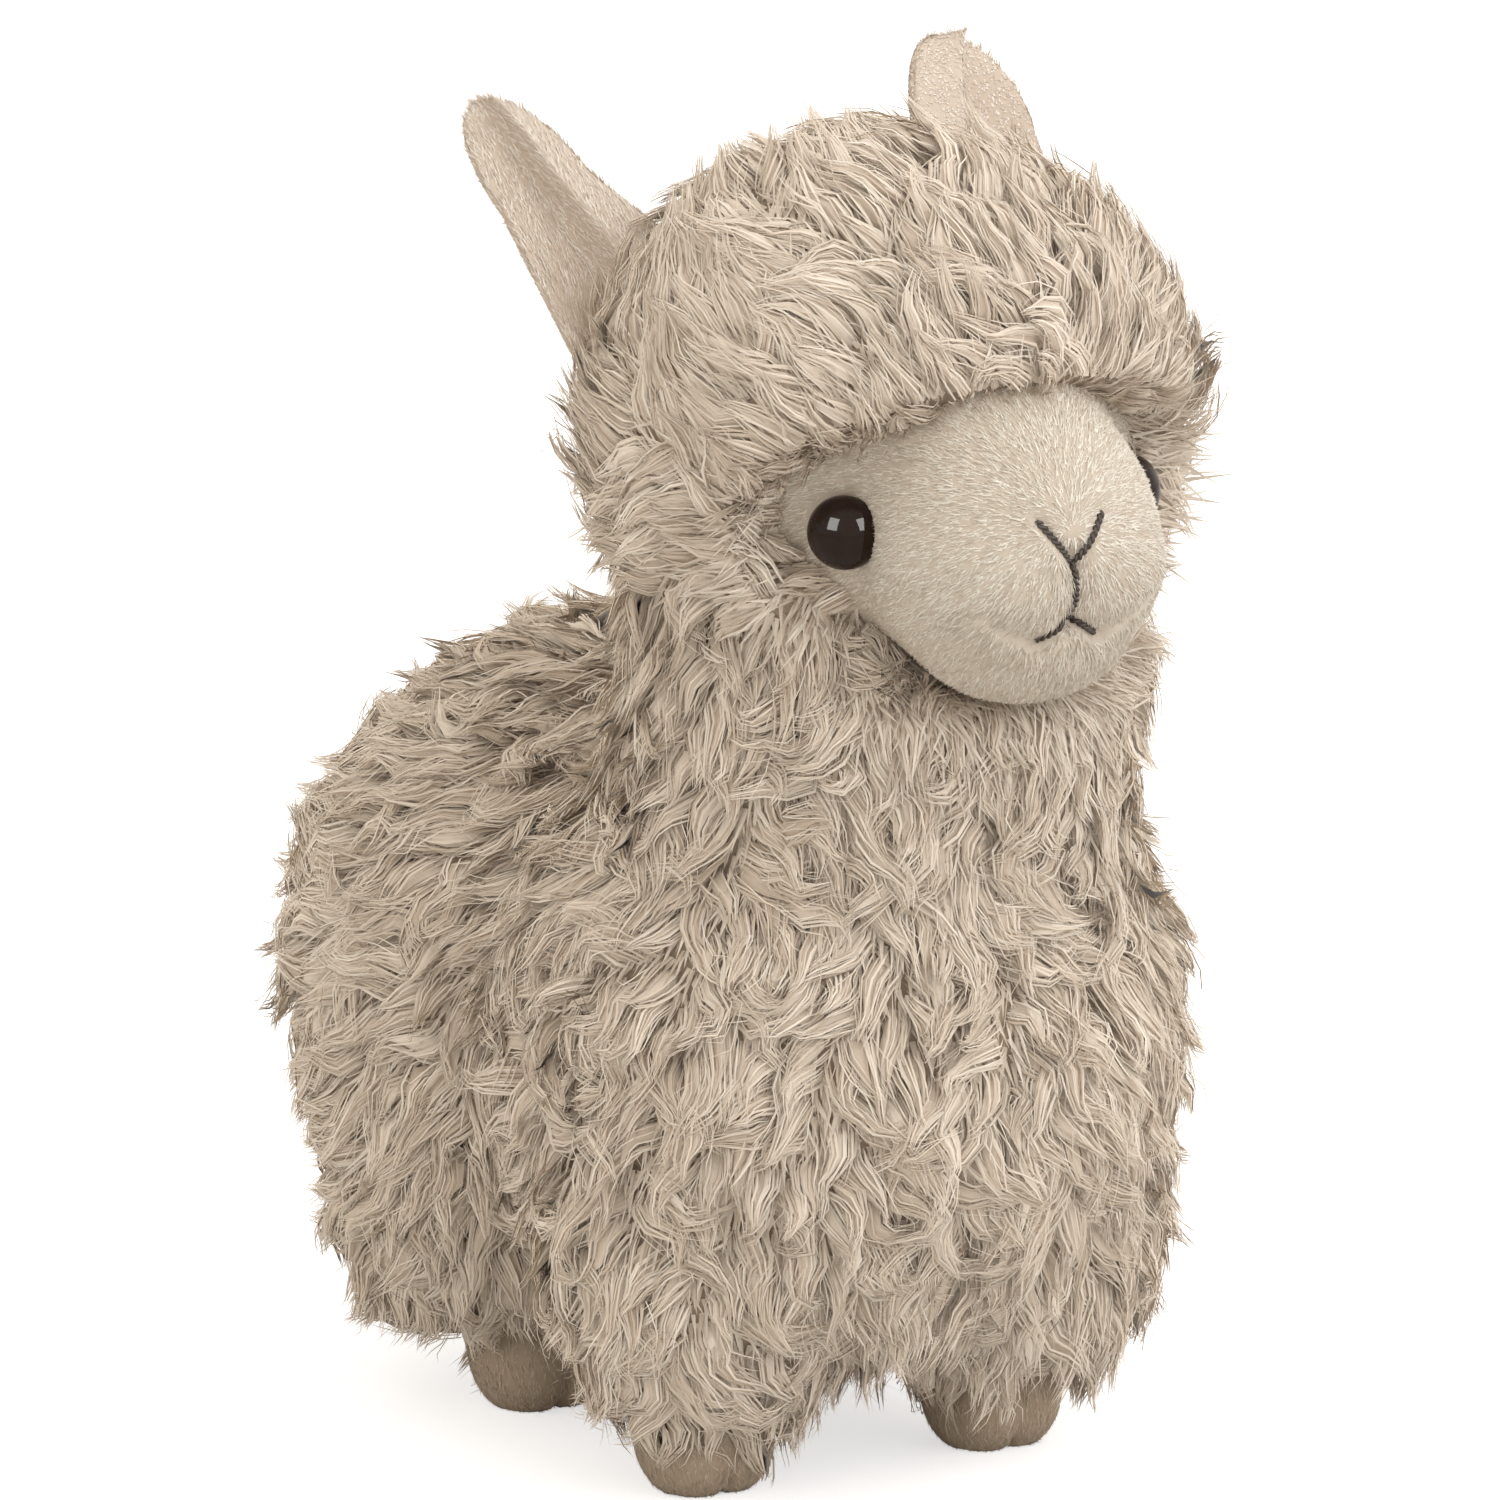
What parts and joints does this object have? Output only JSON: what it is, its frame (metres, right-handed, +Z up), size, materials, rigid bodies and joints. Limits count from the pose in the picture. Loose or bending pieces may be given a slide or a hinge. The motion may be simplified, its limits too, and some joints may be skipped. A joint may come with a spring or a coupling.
{
  "type": "plush llama",
  "caption": "Standing soft toy llama in curly cream fleece with short plush face, ears and feet, domed black eyes and an embroidered nose and mouth.",
  "frame": {"origin": "on the ground, under the middle of the toy's bounding box", "axes": "+Z up, the llama faces -Y, +X is its left side"},
  "size_m": [0.1168, 0.2054, 0.221],
  "materials": {
    "fleece": "curly long-pile fleece, matte, cream ridges over beige valleys",
    "face_plush": "short soft pile, matte, with a light sheen at the edges",
    "ear_plush": "short soft pile, matte",
    "foot_plush": "short soft pile, matte, taupe",
    "eye": "polished domes, near black",
    "washer": "moulded, natural white",
    "thread": "twisted embroidery thread, dark brown",
    "stuffing": "loose polyester fibre filling"
  },
  "bodies": {
    "root": {"torso_fleece": "fleece", "neck_fleece": "fleece", "head_fleece": "fleece", "tail_fleece": "fleece", "front_left_leg_fleece": "fleece", "front_right_leg_fleece": "fleece", "rear_left_leg_fleece": "fleece", "rear_right_leg_fleece": "fleece", "face_panel": "face_plush", "ear_outer_left": "ear_plush", "ear_outer_right": "ear_plush", "ear_lining_left": "ear_plush", "ear_lining_right": "ear_plush", "front_left_foot": "foot_plush", "front_right_foot": "foot_plush", "rear_left_foot": "foot_plush", "rear_right_foot": "foot_plush", "eye_left": "eye", "eye_right": "eye", "eye_washer_left": "washer", "eye_washer_right": "washer", "nose_stitch_left": "thread", "nose_stitch_right": "thread", "lip_stitch": "thread", "mouth_stitch_left": "thread", "mouth_stitch_right": "thread", "torso_stuffing": "stuffing", "head_stuffing": "stuffing"}
  },
  "joints": []
}
